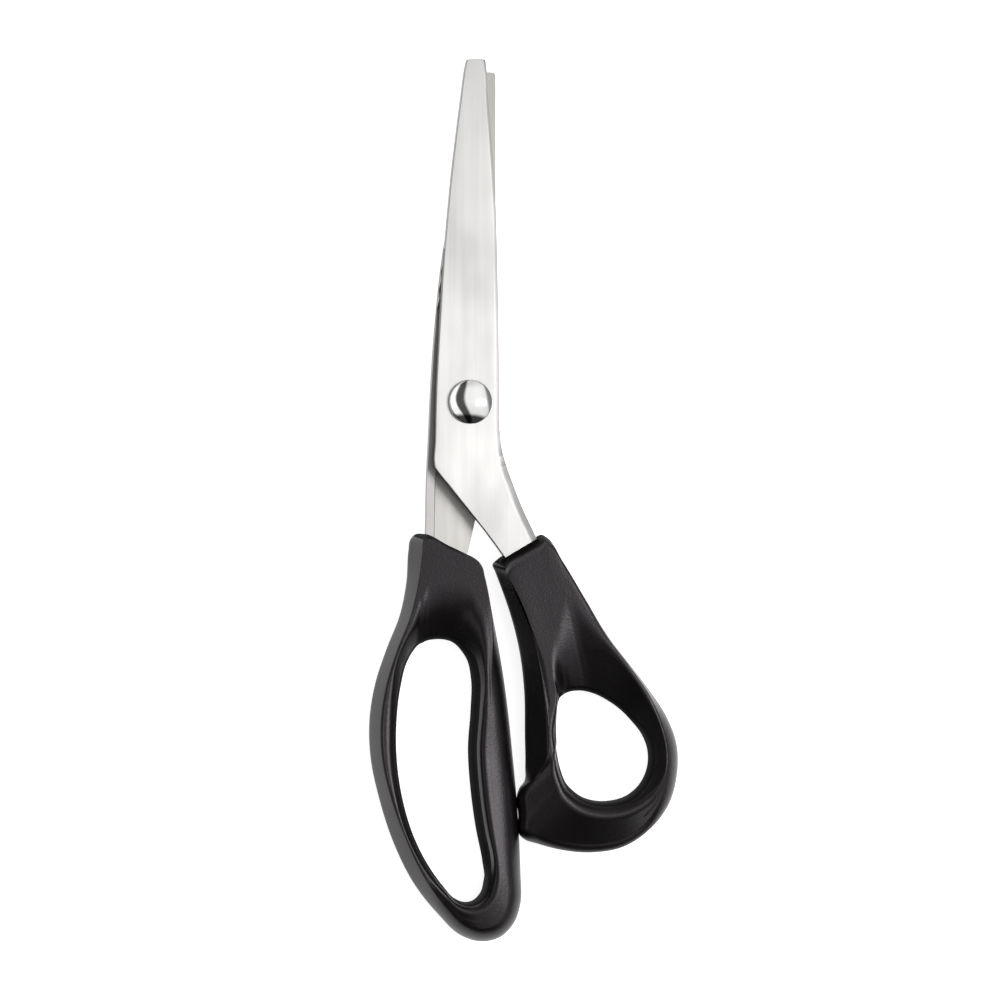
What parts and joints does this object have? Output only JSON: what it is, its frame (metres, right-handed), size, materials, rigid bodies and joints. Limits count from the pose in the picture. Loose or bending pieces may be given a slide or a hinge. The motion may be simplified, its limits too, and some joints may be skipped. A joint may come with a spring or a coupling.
{
  "type": "pinking shears",
  "caption": "Pinking shears with zigzag-toothed steel blades, a domed pivot screw and black moulded bow handles, stored closed and opening at the pivot.",
  "frame": {"origin": "pivot axis at the surface the closed shears rest on, which the screw's end, the nut and both handles' undersides share", "axes": "+Z along the pivot axis from the nut to the screw's domed head, +Y from the pivot towards the blade tips, +X towards the thumb handle's side"},
  "size_m": [0.0819, 0.2297, 0.0126],
  "materials": {
    "blade_steel": "satin",
    "handle_plastic": "satin",
    "pivot_chrome": "polished",
    "nut_steel": "satin",
    "washer_brass": "satin"
  },
  "bodies": {
    "rear_half": {"rear_blade": "blade_steel", "finger_handle": "handle_plastic", "pivot_screw": "pivot_chrome", "pivot_nut": "nut_steel", "spring_washer": "nut_steel", "slip_washer": "washer_brass"},
    "front_half": {"front_blade": "blade_steel", "thumb_handle": "handle_plastic"}
  },
  "joints": [
    {"name": "blade_pivot", "type": "hinge", "parent": "rear_half", "child": "front_half", "pos_m": [0, 0, 0.0083], "axis": [0, 0, 1], "range_deg": [0, 50]}
  ]
}
